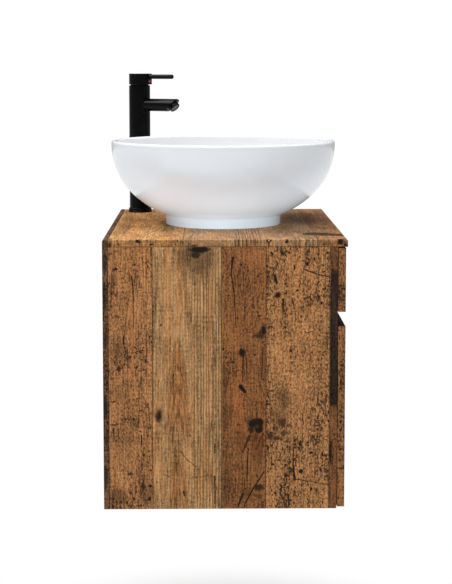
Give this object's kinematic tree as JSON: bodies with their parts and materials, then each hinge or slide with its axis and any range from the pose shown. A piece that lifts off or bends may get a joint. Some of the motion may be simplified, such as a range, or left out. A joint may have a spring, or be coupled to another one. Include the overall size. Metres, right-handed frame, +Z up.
{
  "type": "vessel sink on vanity",
  "caption": "Wall-hung wooden vanity with drawers and a finger gap, a round white vessel basin on its worktop, waste and bottle trap, and a tall black single-lever mixer tap.",
  "frame": {"origin": "centre of the footprint, on the cabinet's underside", "axes": "+Z up, +Y towards the wall, so -Y is the drawer side; X is the width, and the tap stands on the +X side"},
  "size_m": [0.5, 0.4, 0.716],
  "materials": {
    "reclaimed_wood": "satin wood-plank decor with sawn, aged boards",
    "drawer_board": "satin wood decor",
    "drawer_hardboard": "matt hardboard",
    "runner_steel": "white epoxy coating",
    "roller_nylon": "plain moulded",
    "zinc_hardware": "zinc plated",
    "white_glaze": "high-gloss white glaze",
    "black_rubber": "matt",
    "plain_brass": "turned, unpolished",
    "trap_plastic": "white polypropylene",
    "black_coating": "satin black coating",
    "aerator_plastic": "grey moulded",
    "cartridge_plastic": "plain moulded",
    "turret_plastic": "plain moulded",
    "red_blue_mark": "half red, half blue"
  },
  "bodies": {
    "cabinet": {"countertop": "reclaimed_wood", "side_panel_left": "reclaimed_wood", "side_panel_right": "reclaimed_wood", "bottom_panel": "reclaimed_wood", "back_rail_upper": "reclaimed_wood", "back_rail_lower": "reclaimed_wood", "middle_rail": "reclaimed_wood", "cam_locks": "zinc_hardware", "cam_bolts": "zinc_hardware", "cabinet_runner_upper_left": "runner_steel", "cabinet_runner_upper_right": "runner_steel", "cabinet_runner_lower_left": "runner_steel", "cabinet_runner_lower_right": "runner_steel", "cabinet_runner_screws": "zinc_hardware", "basin": "white_glaze", "waste_body": "black_coating", "waste_gasket": "black_rubber", "waste_nut": "plain_brass", "trap_inlet_nut": "trap_plastic", "trap_inlet_tube": "trap_plastic", "trap_body": "trap_plastic", "trap_cup": "trap_plastic", "trap_outlet_nut": "trap_plastic", "trap_outlet_pipe": "trap_plastic", "tap_column": "black_coating", "tap_base_ring": "black_coating", "tap_spout": "black_coating", "aerator_collar": "black_coating", "aerator_insert": "aerator_plastic", "tap_cartridge": "cartridge_plastic", "cartridge_nut": "black_coating", "tap_shank": "plain_brass", "tap_washer": "black_rubber", "tap_lock_nut": "plain_brass"},
    "upper_drawer": {"upper_drawer_front": "reclaimed_wood", "upper_drawer_side_left": "drawer_board", "upper_drawer_side_right": "drawer_board", "upper_drawer_back": "drawer_board", "upper_drawer_cutout": "drawer_board", "upper_drawer_bottom": "drawer_hardboard", "upper_drawer_runner_left": "runner_steel", "upper_drawer_runner_right": "runner_steel"},
    "lower_drawer": {"lower_drawer_front": "reclaimed_wood", "lower_drawer_side_left": "drawer_board", "lower_drawer_side_right": "drawer_board", "lower_drawer_back": "drawer_board", "lower_drawer_bottom": "drawer_hardboard", "lower_drawer_runner_left": "runner_steel", "lower_drawer_runner_right": "runner_steel"},
    "upper_drawer_wheels": {"upper_drawer_rollers": "roller_nylon"},
    "upper_cabinet_wheels": {"upper_cabinet_rollers": "roller_nylon"},
    "lower_drawer_wheels": {"lower_drawer_rollers": "roller_nylon"},
    "lower_cabinet_wheels": {"lower_cabinet_rollers": "roller_nylon"},
    "cartridge": {"cartridge_turret": "turret_plastic"},
    "handle": {"cartridge_stem": "zinc_hardware", "handle_cap": "black_coating", "handle_lever": "black_coating", "handle_grub_screw": "zinc_hardware", "temperature_mark": "red_blue_mark"},
    "plug": {"waste_plug": "black_coating"}
  },
  "joints": [
    {"name": "upper_drawer_slide", "type": "slide", "parent": "cabinet", "child": "upper_drawer", "axis": [0, -1, 0], "range_m": [0, 0.24]},
    {"name": "lower_drawer_slide", "type": "slide", "parent": "cabinet", "child": "lower_drawer", "axis": [0, -1, 0], "range_m": [0, 0.24]},
    {"name": "upper_drawer_wheels_roll", "type": "hinge", "parent": "upper_drawer", "child": "upper_drawer_wheels", "pos_m": [0, 0.105, 0.349], "axis": [1, 0, 0], "continuous": true},
    {"name": "upper_cabinet_wheels_roll", "type": "hinge", "parent": "cabinet", "child": "upper_cabinet_wheels", "pos_m": [0, -0.17, 0.349], "axis": [1, 0, 0], "continuous": true},
    {"name": "lower_drawer_wheels_roll", "type": "hinge", "parent": "lower_drawer", "child": "lower_drawer_wheels", "pos_m": [0, 0.105, 0.038], "axis": [1, 0, 0], "continuous": true},
    {"name": "lower_cabinet_wheels_roll", "type": "hinge", "parent": "cabinet", "child": "lower_cabinet_wheels", "pos_m": [0, -0.17, 0.038], "axis": [1, 0, 0], "continuous": true},
    {"name": "tap_handle_turn", "type": "hinge", "parent": "cabinet", "child": "cartridge", "pos_m": [0.202, 0.159, 0.68], "axis": [0, 0, 1], "range_deg": [-45, 45]},
    {"name": "tap_handle_lift", "type": "hinge", "parent": "cartridge", "child": "handle", "pos_m": [0.202, 0.159, 0.68], "axis": [-0.829, 0.5592, 0], "range_deg": [0, 15]},
    {"name": "plug_lift", "type": "slide", "parent": "cabinet", "child": "plug", "axis": [0, 0, 1], "range_m": [0, 0.008]}
  ],
  "couplings": [
    {"joint": "upper_drawer_wheels_roll", "follows": "upper_drawer_slide", "rad_per_m": 117.65},
    {"joint": "upper_cabinet_wheels_roll", "follows": "upper_drawer_slide", "rad_per_m": 117.65},
    {"joint": "lower_drawer_wheels_roll", "follows": "lower_drawer_slide", "rad_per_m": 117.65},
    {"joint": "lower_cabinet_wheels_roll", "follows": "lower_drawer_slide", "rad_per_m": 117.65}
  ]
}
